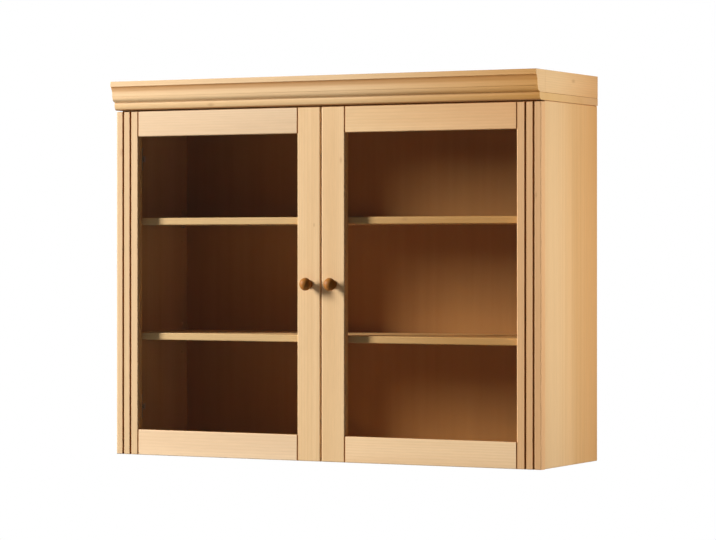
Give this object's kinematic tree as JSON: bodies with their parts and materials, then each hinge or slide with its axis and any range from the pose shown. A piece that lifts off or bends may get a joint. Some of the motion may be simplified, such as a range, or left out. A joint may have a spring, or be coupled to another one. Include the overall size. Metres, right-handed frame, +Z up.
{
  "type": "glazed wall cabinet",
  "caption": "Wide pine wall cabinet with a moulded crown, glazed doors on concealed hinges, fluted outer stiles, turned knobs and shelves on pins.",
  "frame": {"origin": "middle of the hanging rail's rear face, on the wall", "axes": "+X to the right seen from the front, +Y to the wall, +Z up; the doors face -Y"},
  "size_m": [1, 0.313, 0.8],
  "materials": {
    "pine": "honey pine, satin lacquer",
    "back_sheet": "thin pine-faced sheet, satin",
    "beech": "plain beech",
    "glass": "clear float glass",
    "nickel_steel": "nickel-plated steel",
    "silicone": "clear soft silicone"
  },
  "bodies": {
    "carcass": {"bottom_panel": "pine", "top_board": "pine", "hanging_rail": "pine", "lower_wall_rail": "pine", "back_panel": "back_sheet", "carcass_dowels": "beech", "lower_shelf": "pine", "lower_shelf_pins": "nickel_steel", "upper_shelf": "pine", "upper_shelf_pins": "nickel_steel", "crown_front_moulding": "pine", "crown_corner_blocks": "pine", "crown_screws": "nickel_steel", "left_side_panel": "pine", "left_crown_board": "pine", "left_hinge_arms": "nickel_steel", "left_hinge_arm_pins": "nickel_steel", "left_hinge_arm_screws": "nickel_steel", "left_hinge_plates": "nickel_steel", "left_hinge_plate_screws": "nickel_steel", "right_side_panel": "pine", "right_crown_board": "pine", "right_hinge_arms": "nickel_steel", "right_hinge_arm_pins": "nickel_steel", "right_hinge_arm_screws": "nickel_steel", "right_hinge_plates": "nickel_steel", "right_hinge_plate_screws": "nickel_steel"},
    "left_hinge_links": {"left_hinge_links": "nickel_steel"},
    "left_door": {"left_door_hinge_stile": "pine", "left_door_meeting_stile": "pine", "left_door_bottom_rail": "pine", "left_door_top_rail": "pine", "left_door_dowels": "beech", "left_door_glass": "glass", "left_door_glazing_beads": "pine", "left_door_knob": "pine", "left_knob_screw": "nickel_steel", "left_door_bumpers": "silicone", "left_hinge_cups": "nickel_steel", "left_hinge_cup_pins": "nickel_steel", "left_hinge_cup_screws": "nickel_steel"},
    "right_hinge_links": {"right_hinge_links": "nickel_steel"},
    "right_door": {"right_door_hinge_stile": "pine", "right_door_meeting_stile": "pine", "right_door_bottom_rail": "pine", "right_door_top_rail": "pine", "right_door_dowels": "beech", "right_door_glass": "glass", "right_door_glazing_beads": "pine", "right_door_knob": "pine", "right_knob_screw": "nickel_steel", "right_door_bumpers": "silicone", "right_hinge_cups": "nickel_steel", "right_hinge_cup_pins": "nickel_steel", "right_hinge_cup_screws": "nickel_steel"}
  },
  "joints": [
    {"name": "left_link_pivot", "type": "hinge", "parent": "carcass", "child": "left_hinge_links", "pos_m": [-0.4751, -0.269, -0.331], "axis": [0, 0, -1], "range_deg": [-32, 0]},
    {"name": "left_door_pivot", "type": "hinge", "parent": "left_hinge_links", "child": "left_door", "pos_m": [-0.4916, -0.272, -0.331], "axis": [0, 0, -1], "range_deg": [0, 128]},
    {"name": "right_link_pivot", "type": "hinge", "parent": "carcass", "child": "right_hinge_links", "pos_m": [0.4751, -0.269, -0.331], "axis": [0, 0, 1], "range_deg": [-32, 0]},
    {"name": "right_door_pivot", "type": "hinge", "parent": "right_hinge_links", "child": "right_door", "pos_m": [0.4916, -0.272, -0.331], "axis": [0, 0, 1], "range_deg": [0, 128]}
  ],
  "couplings": [
    {"joint": "left_link_pivot", "follows": "left_door_pivot", "ratio": -0.25},
    {"joint": "right_link_pivot", "follows": "right_door_pivot", "ratio": -0.25}
  ]
}
